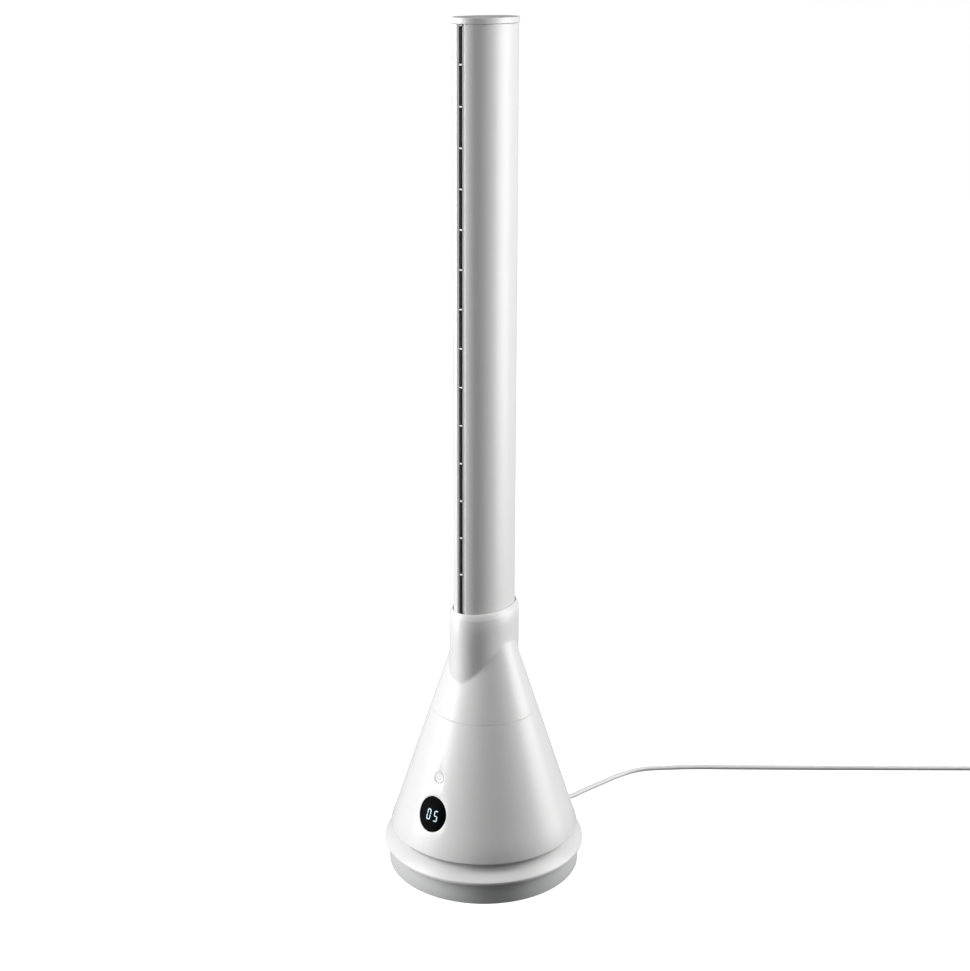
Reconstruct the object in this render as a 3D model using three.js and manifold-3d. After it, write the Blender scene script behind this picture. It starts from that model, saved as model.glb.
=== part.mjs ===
// Tower fan with a slim oval air column on a cone, which swivels on a round grey foot.
// Millimetres, +Z up. The origin is on the floor, under the middle of the column. The slot faces -Y.
import * as THREE from "three";
import { mergeVertices } from "three/addons/utils/BufferGeometryUtils.js";
import Module from "manifold-3d";

// Overall height and the clearance that neighbouring pieces keep.
const HEIGHT = 960;
const GAP = 0.3;

// Oval column, its collar and its cap: half length (front to back) and half width (side to side).
const TUBE = { a: 42.6, b: 28.4, wall: 2, bottom: 235 };
const COLLAR = { a: 47.2, b: 33.7, top: 315, boreA: 43.4, boreB: 29.3, chamferIn: 3.3, chamferDown: 6.5 };
const CAP = { a: 43.3, b: 29.2, thick: 6.3 };
const TUBE_TOP = HEIGHT - CAP.thick - 0.4;

// Air slot in the front of the column. The slit lies between a thin cheek on the left and a broad tongue
// that is sunk behind the slot's edge on the right.
const SLOT = { width: 9.4, bottom: 306, pitch: 42.55, firstRib: 912.9, ribs: 14 };
const NOZZLE = { face: -41.6, tongue: -39.6, back: -34.6, cheek: 0.8, slitLeft: -2.5, slitRight: 0.2 };

// Cone: its apex height and taper give the radius at any height.
const CONE = { rim: 47.9, seam: 192.3, apex: 378.3, taper: 0.326, wall: 2.5 };
const CONE_LEAN = Math.atan(CONE.taper);

// White turntable ring under the cone, and the grey foot under that.
const RING = { radius: 114.8, flat: 99.5, bottom: 26.3, top: 40.3, wall: 2.5 };
const FOOT = { radius: 109.6, bottom: 0.6, top: 26.9, wall: 2.4 };

// The ring's shoulder is an arc that leans down from its first slope to its last one, in radians.
const SHOULDER = { from: Math.PI / 7.5, to: Math.PI / 3.75 };

// Controls on the front of the cone.
const DISPLAY = { z: 91.3, halfWidth: 18.4, halfHeight: 19.7 };
const BUTTON = { z: 130.9, radius: 6.2 };

// Swivel drive: a pinion in an inside-toothed ring.
const GEAR = { module: 1.5, ringTeeth: 72, pinionTeeth: 12, bottom: 30.4, top: 37.5, backlash: 0.5 };
const PINION_X = (GEAR.module * (GEAR.ringTeeth - GEAR.pinionTeeth)) / 2;
const PRESSURE_ANGLE = (20 * Math.PI) / 180;

// Fan motor and impeller on the main axis.
const MOTOR = { radius: 27, bottom: 72, top: 112, shaft: 2.5 };
const IMPELLER = { radius: 53.2, bottom: 124, top: 160, blades: 9 };
const VANES = { bottom: 171, top: 196, count: 7 };

// Mains lead.
const CORD = { radius: 3, exitY: 133.4, exitZ: 12.5, floorZ: 3.1 };
const COIL = { inner: 22.2, outer: 43.8, height: 12.3, meets: 40.6, runIn: 70 };
const PLUG = { length: 34, width: 36, height: 14, relief: 20, pinRadius: 2, pinLength: 19, pinPitch: 19 };

// Sides of the large round pieces, of the middling ones and of the small ones.
const [LARGE, MIDDLE, SMALL] = [36, 24, 12];

// Finishes.
const WHITE_GLOSS = [0xf2f2f1, 0.28, 0];
const WHITE_SATIN = [0xececea, 0.45, 0];
const GREY_MATT = [0xb4b6b5, 0.6, 0];
const BLACK_GLOSS = [0x08090b, 0.08, 0];
const BLACK_PLASTIC = [0x1d1e20, 0.5, 0];
const RUBBER = [0x2a2a2a, 0.85, 0];
const STEEL = [0x9a9c9f, 0.35, 1];
const BOARD_GREEN = [0x1f5a3a, 0.5, 0];
const NYLON = [0xdeddd6, 0.5, 0];
const CORD_WHITE = [0xe4e5e5, 0.55, 0];

const wasm = await Module();
wasm.setup();
const fan = new THREE.Group();

// ---------------------------------------------------------------- solids

function solid(geometry) {
  const bare = new THREE.BufferGeometry();
  const flat = geometry.index ? geometry.toNonIndexed() : geometry;
  bare.setAttribute("position", flat.getAttribute("position"));
  const merged = mergeVertices(bare, 1e-4);
  const index = merged.index.array;
  const kept = [];
  for (let i = 0; i < index.length; i += 3) {
    const [a, b, c] = [index[i], index[i + 1], index[i + 2]];
    if (a !== b && b !== c && a !== c) kept.push(a, b, c);
  }
  const triVerts = new Uint32Array(kept);
  const vertProperties = merged.attributes.position.array;
  const made = new wasm.Manifold(new wasm.Mesh({ numProp: 3, vertProperties, triVerts }));
  if (made.volume() > 0) return made;
  triVerts.reverse();
  return new wasm.Manifold(new wasm.Mesh({ numProp: 3, vertProperties, triVerts }));
}

function join(first, ...others) {
  return others.reduce((whole, piece) => whole.add(piece), first);
}

function cut(first, ...others) {
  return others.reduce((whole, piece) => whole.subtract(piece), first);
}

function add(name, piece, [color, roughness, metalness], parent = fan) {
  const mesh = piece.getMesh();
  const geometry = new THREE.BufferGeometry();
  geometry.setAttribute("position", new THREE.BufferAttribute(mesh.vertProperties, 3));
  geometry.setIndex(new THREE.BufferAttribute(mesh.triVerts, 1));
  geometry.computeVertexNormals();
  const node = new THREE.Mesh(geometry, new THREE.MeshStandardMaterial({ color, roughness, metalness }));
  node.name = name;
  parent.add(node);
  return node;
}

// A turned piece from its [radius, height] outline. Squeeze flattens it side to side into an oval.
function turned(outline, segments = LARGE, squeeze = 1) {
  const points = outline.map(([r, z]) => new THREE.Vector2(r, z));
  points.push(points[0].clone());
  const geometry = new THREE.LatheGeometry(points, segments);
  geometry.rotateX(Math.PI / 2);
  geometry.scale(squeeze, 1, 1);
  return solid(geometry);
}

function prism(shape, bottom, top, curveSegments = LARGE / 2) {
  const depth = top - bottom;
  const geometry = new THREE.ExtrudeGeometry(shape, { depth, bevelEnabled: false, curveSegments });
  geometry.translate(0, 0, bottom);
  return solid(geometry);
}

function polygon(points) {
  return new THREE.Shape(points.map(([x, y]) => new THREE.Vector2(x, y)));
}

function oval(halfX, halfY) {
  return new THREE.Shape().absellipse(0, 0, halfX, halfY, 0, 2 * Math.PI);
}

function block(width, depth, bottom, top, x = 0, y = 0) {
  const geometry = new THREE.BoxGeometry(width, depth, top - bottom);
  geometry.translate(x, y, (bottom + top) / 2);
  return solid(geometry);
}

function rod(radius, bottom, top, x = 0, y = 0, segments = SMALL) {
  const geometry = new THREE.CylinderGeometry(radius, radius, top - bottom, segments);
  geometry.rotateX(Math.PI / 2);
  geometry.translate(x, y, (bottom + top) / 2);
  return solid(geometry);
}

function spun(piece, degrees) {
  return piece.rotate([0, 0, degrees]);
}

function ringOf(count, make, start = 0) {
  const each = [];
  for (let i = 0; i < count; i++) each.push(spun(make(i), start + (i * 360) / count));
  return each;
}

// A round tube along a smooth curve through the given points.
function swept(points, radius, steps, sides) {
  const section = new THREE.Shape();
  for (let i = 0; i < sides; i++) {
    const angle = (i / sides) * 2 * Math.PI;
    const corner = [radius * Math.cos(angle), radius * Math.sin(angle)];
    if (i === 0) section.moveTo(...corner);
    else section.lineTo(...corner);
  }
  const extrudePath = new THREE.CatmullRomCurve3(points, false, "centripetal");
  return solid(new THREE.ExtrudeGeometry(section, { steps, extrudePath, bevelEnabled: false }));
}

// ---------------------------------------------------------------- shared shapes

function coneRadius(z) {
  return (CONE.apex - z) * CONE.taper;
}

// The layer of the cone's wall between two depths under its outside.
function coneLayer(bottom, top, outerDepth, innerDepth) {
  return turned([
    [coneRadius(bottom) - innerDepth, bottom],
    [coneRadius(bottom) - outerDepth, bottom],
    [coneRadius(top) - outerDepth, top],
    [coneRadius(top) - innerDepth, top],
  ]);
}

// Places a solid made flat, facing +Z, on the front of the cone at the given height.
function onCone(piece, z) {
  return piece.rotate([90 - (CONE_LEAN * 180) / Math.PI, 0, 0]).translate([0, -coneRadius(z), z]);
}

function panelGroup(z) {
  const group = new THREE.Group();
  group.rotation.x = Math.PI / 2 - CONE_LEAN;
  group.position.set(0, -coneRadius(z), z);
  fan.add(group);
  return group;
}

// ---------------------------------------------------------------- foot

function makeFoot() {
  const { radius, bottom, top, wall } = FOOT;
  const bossRadius = 92;
  const inside = radius - wall;
  const underDeck = top - wall;
  const shell = turned([
    [inside, bottom], [radius - 0.4, bottom], [radius, bottom + 0.4], [radius, top - 0.8],
    [radius - 0.8, top], [13, top], [13, underDeck], [inside, underDeck],
  ]);
  const bosses = ringOf(4, () => rod(4.5, 5.1, underDeck + 1, bossRadius), 45);
  const bores = ringOf(4, () => rod(1.7, 4, underDeck - 2, bossRadius, 0, 8), 45);
  const leadHole = rod(5, -4, 4).rotate([90, 0, 0]).translate([0, radius - 1, CORD.exitZ]);
  const pinionHole = rod(3.4, underDeck - 1, top + 1, PINION_X);
  add("foot_shell", cut(join(shell, ...bosses), ...bores, leadHole, pinionHole), GREY_MATT);

  const padRadius = 92;
  const plate = turned([[0, 2.2], [inside - 0.4, 2.2], [inside - 0.4, 4.8], [0, 4.8]]);
  const screwHoles = ringOf(4, () => rod(1.9, 2, 5, bossRadius, 0, 8), 45);
  const padHoles = ringOf(4, () => rod(2.9, 2, 5, padRadius, 0, 8));
  add("bottom_cover", cut(plate, ...screwHoles, ...padHoles), GREY_MATT);

  const pad = turned([[0, 0], [8.4, 0], [9, 0.6], [9, 1.9], [2.5, 1.9], [2.5, 6], [0, 6]], SMALL);
  const screw = turned([[0, 0.5], [3.2, 0.5], [3.2, 1.9], [1.4, 1.9], [1.4, 15], [0, 15]], 8);
  for (let i = 0; i < 4; i++) {
    add(`rubber_foot_${i + 1}`, spun(pad.translate([padRadius, 0, 0]), i * 90), RUBBER);
    add(`cover_screw_${i + 1}`, spun(screw.translate([bossRadius, 0, 0]), 45 + i * 90), STEEL);
  }

  const weight = turned([[30, 6.4], [84, 6.4], [84, 13.4], [30, 13.4]]);
  add("ballast_plate", cut(weight, rod(16, 5, 15, PINION_X + 8, 0, MIDDLE)), STEEL);
}

// ---------------------------------------------------------------- swivel

function makeSwivel() {
  const deck = FOOT.top + GAP;
  const above = RING.top + 0.5;
  const post = turned([
    [12.5, deck], [26, deck], [26, deck + 2], [15.9, deck + 2], [15.9, above + 5], [12.5, above + 5],
  ], MIDDLE);
  add("swivel_post", post, NYLON);
  const retainer = turned([[16.2, above], [24, above], [24, above + 2.5], [16.2, above + 2.5]], MIDDLE);
  add("retaining_ring", retainer, NYLON);
  add("glide_ring", turned([[68, deck], [78, deck], [78, deck + 3], [68, deck + 3]]), NYLON);

  const motorX = PINION_X + 8;
  const top = FOOT.top - FOOT.wall - GAP;
  const can = join(rod(14, 5.4, top, motorX, 0, MIDDLE), block(7, 42, top - 1.2, top, motorX));
  add("swivel_motor", cut(can, rod(2.7, top - 4, top + 1, PINION_X)), STEEL);
}

// Half the angle that a tooth fills at a radius, from its involute flank.
function toothHalfAngle(teeth, radius, thinner) {
  const pitchRadius = (GEAR.module * teeth) / 2;
  const baseRadius = pitchRadius * Math.cos(PRESSURE_ANGLE);
  const involute = (angle) => Math.tan(angle) - angle;
  const here = Math.acos(Math.min(1, baseRadius / Math.max(radius, baseRadius)));
  const atPitch = Math.PI / (2 * teeth) - thinner / (2 * pitchRadius);
  return atPitch + involute(PRESSURE_ANGLE) - involute(here);
}

// A gear's outline, with one or two straight stretches for each flank. A tooth lies on +X.
function gearOutline(teeth, rootRadius, tipRadius, thinner, flank) {
  const pitchRadius = (GEAR.module * teeth) / 2;
  const radii = flank === 1 ? [rootRadius, tipRadius] : [rootRadius, pitchRadius, tipRadius];
  const points = [];
  const put = (radius, angle) => points.push([radius * Math.cos(angle), radius * Math.sin(angle)]);
  for (let i = 0; i < teeth; i++) {
    const middle = (i / teeth) * 2 * Math.PI;
    for (const radius of radii) put(radius, middle - toothHalfAngle(teeth, radius, thinner));
    for (const radius of [...radii].reverse()) put(radius, middle + toothHalfAngle(teeth, radius, thinner));
  }
  return polygon(points);
}

function makeGears() {
  const { module, ringTeeth, pinionTeeth, backlash, bottom, top } = GEAR;
  const ringPitch = (module * ringTeeth) / 2;
  const pinionPitch = (module * pinionTeeth) / 2;
  // The gaps of the ring are teeth of an outside gear, a little fat for backlash.
  const bore = gearOutline(ringTeeth, ringPitch - 0.9 * module, ringPitch + 1.3 * module, -backlash / 2, 1);
  const blank = rod(60, bottom, top, 0, 0, LARGE);
  add("ring_gear", cut(blank, prism(bore, bottom - 1, top + 1)), NYLON);

  // The pinion has a tooth on the +X side, where the ring has a gap.
  const [root, tip] = [pinionPitch - 1.2 * module, pinionPitch + 0.8 * module];
  const teeth = gearOutline(pinionTeeth, root, tip, backlash / 2, 2);
  const spindle = rod(2.3, FOOT.top - FOOT.wall - 3.8, bottom + 1);
  const pinion = join(prism(teeth, bottom + 0.4, top - 0.6), spindle);
  add("drive_pinion", pinion.translate([PINION_X, 0, 0]), NYLON);
}

// ---------------------------------------------------------------- turntable and inlet

// The ring's shoulder, at a depth under its outside, from the flat top to the lip.
function shoulder(depth, steps) {
  const { from, to } = SHOULDER;
  const radius = (RING.radius - RING.flat) / (Math.sin(to) - Math.sin(from));
  const points = [];
  for (let i = 0; i <= steps; i++) {
    const lean = from + ((to - from) * i) / steps;
    points.push([
      RING.flat - radius * Math.sin(from) + (radius - depth) * Math.sin(lean),
      RING.top - radius * Math.cos(from) + (radius - depth) * Math.cos(lean),
    ]);
  }
  return points;
}

function makeTurntable() {
  const under = RING.top - RING.wall;
  const hub = FOOT.top + 3;
  const rail = FOOT.top + 3.7;
  const outside = shoulder(0, 4).reverse();
  const inside = shoulder(RING.wall, 4);
  const lip = inside[inside.length - 1][0];
  const outline = [
    [16.5, hub], [20, hub], [20, under], [71, under], [71, rail], [75, rail], [75, under],
    ...inside, [lip, RING.bottom], [RING.radius, RING.bottom], ...outside, [16.5, RING.top],
  ];
  add("turntable", turned(outline), WHITE_GLOSS);

  const windows = 24;
  const wall = turned([
    [84, RING.top + GAP], [87, RING.top + GAP], [87, 57], [99.8, 57], [99.8, 60], [84, 60],
  ]);
  const openings = ringOf(windows, () => block(10, 15, 43, 54.5, 85.5));
  const screwHoles = ringOf(3, () => rod(1.9, 56, 61, 92, 0, 8), 30);
  add("inlet_grille", cut(wall, ...openings, ...screwHoles), WHITE_SATIN);

  const screw = turned([[0, 54.4], [3, 54.4], [3, 56.7], [1.5, 56.7], [1.5, 66.5], [0, 66.5]], 8);
  for (let i = 0; i < 3; i++) {
    add(`cone_screw_${i + 1}`, spun(screw.translate([92, 0, 0]), 30 + i * 120), STEEL);
  }
}

function makePowerBoard() {
  const boardY = 54;
  const post = (x, y) => rod(2.5, RING.top + GAP, 43.5, x, boardY + y, 8);
  const posts = [-34, 34].flatMap((x) => [-16, 16].map((y) => post(x, y)));
  const parts = [
    block(24, 20, 44, 58, -22, boardY),
    block(18, 12, 44, 56, 22, boardY + 8),
    rod(6, 44, 58, 4, boardY - 8),
    rod(6, 44, 58, 18, boardY - 8),
  ];
  add("power_board", join(block(78, 40, 43, 44.6, 0, boardY), ...posts, ...parts), BOARD_GREEN);
}

// ---------------------------------------------------------------- air mover inside the cone

function makeShroud() {
  const flare = [[84, 62.5], [76, 78], [66, 98], [58.5, 118], [56, 135], [56, 170]];
  const inner = flare.map(([r, z]) => [r - 2, z]).reverse();
  const outline = [[82, 60.3], [99, 60.3], [99, 62.5], ...flare, ...inner];
  const screwHoles = ringOf(3, () => rod(1.9, 59, 64, 92, 0, 8), 30);
  add("intake_shroud", cut(turned(outline), ...screwHoles), BLACK_PLASTIC);
}

function makeMotor() {
  const { radius, bottom, top, shaft } = MOTOR;
  const bore = shaft + GAP;
  const can = [
    [0, bottom], [18, bottom], [radius, bottom + 8], [radius, top], [bore, top], [bore, 98], [0, 98],
  ];
  add("fan_motor", turned(can, MIDDLE), STEEL);
  const damper = [[radius + GAP, 82], [29.6, 82], [29.6, 94], [radius + GAP, 94]];
  add("motor_damper", turned(damper, MIDDLE), RUBBER);
  const hoop = turned([[29.9, 84], [33, 84], [33, 92], [29.9, 92]], MIDDLE);
  const arms = ringOf(3, () => block(33.5, 5, 84, 92, 48.75));
  add("motor_mount", join(hoop, ...arms), BLACK_PLASTIC);
  add("motor_shaft", rod(shaft, 98.4, 165), STEEL);
}

function makeImpeller() {
  const { radius, bottom, top, blades } = IMPELLER;
  const bore = MOTOR.shaft + GAP;
  const hub = turned([
    [bore, 118], [12, 118], [36, bottom + 1], [36, bottom + 4], [14, top], [bore, top],
  ], MIDDLE);
  const steps = 4;
  const thick = 1.8;
  const front = [];
  const back = [];
  for (let i = 0; i <= steps; i++) {
    const r = 12 + ((radius - 12) * i) / steps;
    const sweep = -0.85 * (i / steps) ** 1.4;
    front.push([r * Math.cos(sweep), r * Math.sin(sweep)]);
    const behind = sweep + thick / r;
    back.unshift([r * Math.cos(behind), r * Math.sin(behind)]);
  }
  const blade = prism(polygon([...front, ...back]), bottom, top);
  add("impeller", join(hub, ...ringOf(blades, () => blade)), BLACK_PLASTIC);
  add("impeller_nut", cut(rod(5, top + GAP, 164.5, 0, 0, 6), rod(bore, top, 166)), STEEL);
}

function makeDiffuser() {
  const { bottom, top, count } = VANES;
  const shell = turned([[51.7, bottom], [53.5, bottom], [51.2, top], [49.4, top]]);
  const bullet = turned([
    [0, bottom], [28, bottom], [30, bottom + 2], [28, top - 6], [18, top + 8], [0, top + 16],
  ], MIDDLE);
  const vane = prism(polygon([[24, -1], [51.5, -1], [51.5, 1], [24, 1]]), bottom + 2, top - 4);
  add("diffuser", join(shell, bullet, ...ringOf(count, () => vane)), BLACK_PLASTIC);
}

// ---------------------------------------------------------------- cone

function makeLowerCone() {
  const { rim, seam, wall } = CONE;
  const inside = (z) => coneRadius(z) - wall;
  const shell = turned([
    [inside(rim), rim], [coneRadius(rim), rim], [coneRadius(seam), seam], [inside(seam), seam],
    [inside(65.3), 65.3], [87, 65.3], [87, 62.8], [inside(62.8), 62.8],
  ], LARGE);
  const screwHoles = ringOf(3, () => rod(1.9, 62, 66, 92, 0, 8), 30);
  const window = prism(oval(DISPLAY.halfWidth + GAP, DISPLAY.halfHeight + GAP), -12, 8, 16);
  const hole = rod(BUTTON.radius + GAP, -12, 8);
  const openings = [onCone(window, DISPLAY.z), onCone(hole, BUTTON.z)];
  add("lower_cone", cut(shell, ...screwHoles, ...openings), WHITE_GLOSS);
}

function makeUpperCone() {
  const { seam, wall } = CONE;
  const bottom = seam + GAP;
  const inside = (z) => coneRadius(z) - wall;
  const squeeze = COLLAR.b / COLLAR.a;
  const hidden = 282;
  const outerCone = turned([
    [0, bottom], [coneRadius(bottom), bottom], [coneRadius(hidden), hidden], [0, hidden],
  ]);
  const outerCollar = turned([
    [0, 205], [COLLAR.a, 205], [COLLAR.a, COLLAR.top - COLLAR.chamferDown],
    [COLLAR.a - COLLAR.chamferIn, COLLAR.top], [0, COLLAR.top],
  ], LARGE, squeeze);
  const ceiling = 268;
  const innerCone = turned([
    [0, bottom - 1], [inside(bottom - 1), bottom - 1], [inside(ceiling), ceiling], [0, ceiling],
  ], LARGE);
  const bore = prism(oval(COLLAR.boreB, COLLAR.boreA), 215, COLLAR.top + 1);
  const spigot = turned([
    [inside(seam - 7) - 2.2, seam - 7], [inside(seam - 7) - GAP, seam - 7], [inside(seam) - GAP, seam],
    [inside(seam) - GAP, bottom + 1], [inside(seam) - 2.2, bottom + 1],
  ], LARGE);
  const hollow = cut(join(outerCone, outerCollar), innerCone, bore);
  const lug = coneLayer(bottom, bottom + 2, 1, wall + 2.2);
  add("upper_cone", join(hollow, lug, spigot), WHITE_GLOSS);

  const seat = turned([
    [0, 229], [inside(229) - 0.4, 229], [inside(234.7) - 0.4, 234.7], [0, 234.7],
  ]);
  add("column_seat", cut(seat, prism(oval(25, 38), 228, 236)), RUBBER);
}

function makePanel() {
  const lens = prism(oval(DISPLAY.halfWidth, DISPLAY.halfHeight), -12, 8, 16);
  add("display_window", coneLayer(62, 120, 0.2, CONE.wall).intersect(onCone(lens, DISPLAY.z)), BLACK_GLOSS);

  const plug = onCone(rod(BUTTON.radius, -12, 8), BUTTON.z);
  const face = coneLayer(115, 147, 0, CONE.wall + 0.6).intersect(plug);
  const stem = onCone(join(rod(2.2, -6.9, -1.5), rod(7, -4.4, -3.1)), BUTTON.z);
  add("power_button", join(face, stem), WHITE_GLOSS);

  const panel = panelGroup(DISPLAY.z);
  const buttonAlong = (BUTTON.z - DISPLAY.z) / Math.cos(CONE_LEAN);
  const corners = [-14.5, 14.5].flatMap((x) => [-13, 42].map((y) => rod(2, -12, -4.3, x, y, 8)));
  const board = block(34, 63, -12.9, -11.3, 0, 14.5);
  add("display_board", join(board, ...corners), BOARD_GREEN, panel);
  add("digit_module", block(24, 18, -11, -4.2), BLACK_PLASTIC, panel);
  const body = block(6.2, 6.2, -11, -9, 0, buttonAlong);
  add("button_switch", join(body, rod(1.7, -9.5, -8.1, 0, buttonAlong)), BLACK_PLASTIC, panel);
}

// ---------------------------------------------------------------- column

function makeColumn() {
  const { a, b, wall, bottom } = TUBE;
  const shape = oval(b, a);
  shape.holes.push(new THREE.Path().absellipse(0, 0, b - wall, a - wall, 0, 2 * Math.PI));
  const shell = prism(shape, bottom, TUBE_TOP);
  const opening = block(SLOT.width, 12, SLOT.bottom, TUBE_TOP + 1, 0, -a);
  add("column_shell", cut(shell, opening), WHITE_GLOSS);
  makeNozzle();

  const { thick } = CAP;
  const base = HEIGHT - thick;
  const lid = turned([
    [0, base], [CAP.a - 0.5, base], [CAP.a, base + 0.5],
    [CAP.a, HEIGHT - 1], [CAP.a - 1, HEIGHT], [0, HEIGHT],
  ], LARGE, CAP.b / CAP.a);
  const stopper = turned([[0, base - 9], [34, base - 9], [34, base + 1], [0, base + 1]], LARGE, 0.75);
  add("top_cap", join(lid, stopper), WHITE_GLOSS);
}

// A cheek and a sunk tongue along the slot, tied by ribs at an even pitch.
function makeNozzle() {
  const { width, bottom, pitch, firstRib, ribs } = SLOT;
  const { face, tongue, back, cheek, slitLeft, slitRight } = NOZZLE;
  const half = width / 2 - GAP;
  const low = bottom + GAP;
  const left = prism(polygon([
    [-half, back], [slitLeft, back], [slitLeft, face], [-half, face],
  ]), low, TUBE_TOP);
  const right = prism(polygon([
    [slitRight, back], [half, back], [half, face], [half - cheek, face],
    [half - cheek, tongue], [slitRight + 0.6, tongue], [slitRight, tongue + 0.6],
  ]), low, TUBE_TOP);
  const ribDeep = back - face - 0.4;
  const rib = (z, thick) => block(4.6, ribDeep, z - thick / 2, z + thick / 2, -0.7, back - ribDeep / 2);
  const inner = [];
  for (let i = 0; i < ribs; i++) inner.push(rib(firstRib - i * pitch, 1.6));
  const ends = [rib(low + 3, 6), rib(TUBE_TOP - 1, 2)];
  add("slot_nozzle", join(left, right, ...ends, ...inner), WHITE_SATIN);
}

// ---------------------------------------------------------------- mains lead

// The lead's way over the floor, from the strain relief towards the coil.
const LEAD_ROUTE = [
  [0, CORD.exitY + GAP, CORD.exitZ],
  [0, 140.5, CORD.exitZ],
  [0.3, 152, 10.4],
  [1.2, 165, 6],
  [2.8, 179, 3.7],
  [5.2, 198, 3.2],
  [10, 224.5, CORD.floorZ],
  [17, 259, CORD.floorZ],
  [28.6, 288, CORD.floorZ],
  [55.9, 317, CORD.floorZ],
  [85.2, 342.4, CORD.floorZ],
  [116.6, 366.6, CORD.floorZ],
  [150.4, 392.9, CORD.floorZ],
  [201, 432.2, CORD.floorZ],
  [253, 473.1, CORD.floorZ],
  [306, 514.8, CORD.floorZ],
  [360, 557.3, CORD.floorZ],
];

// Travel is the lead's way as it meets the coil, and side points from there to the coil's middle.
const TRAVEL = new THREE.Vector2(0.7858, 0.6185);
const SIDE = new THREE.Vector2(0.6185, -0.7858);

function fromCoil(along, across) {
  const [x, y] = LEAD_ROUTE[LEAD_ROUTE.length - 1];
  const point = new THREE.Vector2(x, y).addScaledVector(TRAVEL, COIL.runIn).addScaledVector(SIDE, COIL.meets);
  return point.addScaledVector(TRAVEL, along).addScaledVector(SIDE, across);
}

function makeLead() {
  const reliefOutline = [
    [0, 0], [6.5, 0], [6.5, 2], [4.6, 2.3], [4.6, 6], [5.8, 6.4], [5.2, 12], [4.1, 29.5], [0, 29.5],
  ];
  const relief = turned(reliefOutline, SMALL)
    .rotate([-90, 0, 0]).translate([0, CORD.exitY - 29.5, CORD.exitZ]);
  add("strain_relief", relief, CORD_WHITE);

  const route = LEAD_ROUTE.map(([x, y, z]) => new THREE.Vector3(x, y, z));
  const meeting = fromCoil(-23.5, -COIL.meets);
  route.push(new THREE.Vector3(meeting.x, meeting.y, CORD.floorZ));
  add("mains_lead", swept(route, CORD.radius, 44, 8), CORD_WHITE);

  const { inner, outer, height } = COIL;
  const low = CORD.floorZ - CORD.radius;
  const ring = turned([
    [inner + 2, low], [outer - 2, low], [outer, low + 2], [outer, height - 2], [outer - 2, height],
    [inner + 2, height], [inner, height - 2], [inner, low + 2],
  ], MIDDLE);
  const middle = fromCoil(0, 0);
  add("lead_coil", ring.translate([middle.x, middle.y, 0]), CORD_WHITE);
  makePlug();
}

// The plug lies beside the coil, with its pins pointing away from the coil's end of the lead.
function makePlug() {
  const tail = [[23.5, 9.15], [34, 8.9], [46, 7.5], [56, 7.1], [62, 7.1]].map(([across, z]) => {
    const point = fromCoil(COIL.meets, across);
    return new THREE.Vector3(point.x, point.y, z);
  });
  add("lead_tail", swept(tail, CORD.radius, 6, 8), CORD_WHITE);

  const { length, width, height, relief, pinRadius, pinLength, pinPitch } = PLUG;
  const mid = height / 2 + 0.1;
  const start = fromCoil(COIL.meets, 62 + GAP);
  const heading = (Math.atan2(SIDE.y, SIDE.x) * 180) / Math.PI;
  const place = (piece) => piece.rotate([0, 0, heading]).translate([start.x, start.y, 0]);
  const body = polygon([
    [relief - 4, -5], [relief + 4, -9], [relief + 16, -width / 2], [relief + length, -width / 2],
    [relief + length, width / 2], [relief + 16, width / 2], [relief + 4, 9], [relief - 4, 5],
  ]);
  const neck = turned([[0, 0], [4, 0], [5.6, relief + 2], [0, relief + 2]], SMALL)
    .rotate([0, 90, 0]).translate([0, 0, mid]);
  const shell = join(prism(body, mid - height / 2, mid + height / 2), neck);
  const socket = (side) => rod(pinRadius + GAP, -8, 3)
    .rotate([0, 90, 0]).translate([relief + length, (side * pinPitch) / 2, mid]);
  add("plug_body", place(cut(shell, socket(-1), socket(1))), CORD_WHITE);
  for (const side of [-1, 1]) {
    const pin = turned([
      [0, -7], [pinRadius, -7], [pinRadius, pinLength - 1], [pinRadius - 1, pinLength], [0, pinLength],
    ], SMALL).rotate([0, 90, 0]).translate([relief + length, (side * pinPitch) / 2, mid]);
    add(`plug_pin_${side < 0 ? 1 : 2}`, place(pin), STEEL);
  }
}

// ---------------------------------------------------------------- assembly

makeFoot();
makeSwivel();
makeGears();
makeTurntable();
makePowerBoard();
makeShroud();
makeMotor();
makeImpeller();
makeDiffuser();
makeLowerCone();
makeUpperCone();
makePanel();
makeColumn();
makeLead();

export default fan;
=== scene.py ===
# Tower fan: a slim oval air column on a cone, which swivels on a round grey foot.
# Metres, +Z up, origin on the floor under the middle of the column, slot facing -Y.
import math

import bmesh
import bpy
from mathutils import Matrix, Vector


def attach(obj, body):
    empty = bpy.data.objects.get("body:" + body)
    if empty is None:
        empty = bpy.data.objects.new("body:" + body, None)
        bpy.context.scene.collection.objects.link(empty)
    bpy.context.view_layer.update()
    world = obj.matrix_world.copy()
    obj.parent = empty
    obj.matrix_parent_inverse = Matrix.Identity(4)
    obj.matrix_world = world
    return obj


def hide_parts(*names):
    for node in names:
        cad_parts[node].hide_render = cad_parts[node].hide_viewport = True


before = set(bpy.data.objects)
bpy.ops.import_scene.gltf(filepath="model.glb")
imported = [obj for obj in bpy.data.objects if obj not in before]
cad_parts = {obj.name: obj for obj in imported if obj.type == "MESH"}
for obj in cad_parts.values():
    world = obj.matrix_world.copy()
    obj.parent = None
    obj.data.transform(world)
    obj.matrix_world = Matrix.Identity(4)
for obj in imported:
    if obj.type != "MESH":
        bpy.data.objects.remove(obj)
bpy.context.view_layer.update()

MM = 0.001

# Sides of the cone and foot, of the column, of the openings in the cone and of the small round pieces.
CONE_SIDES = 256
COLUMN_SIDES = 152
OPENING_SIDES = 96
SMALL_SIDES = 40

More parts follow.
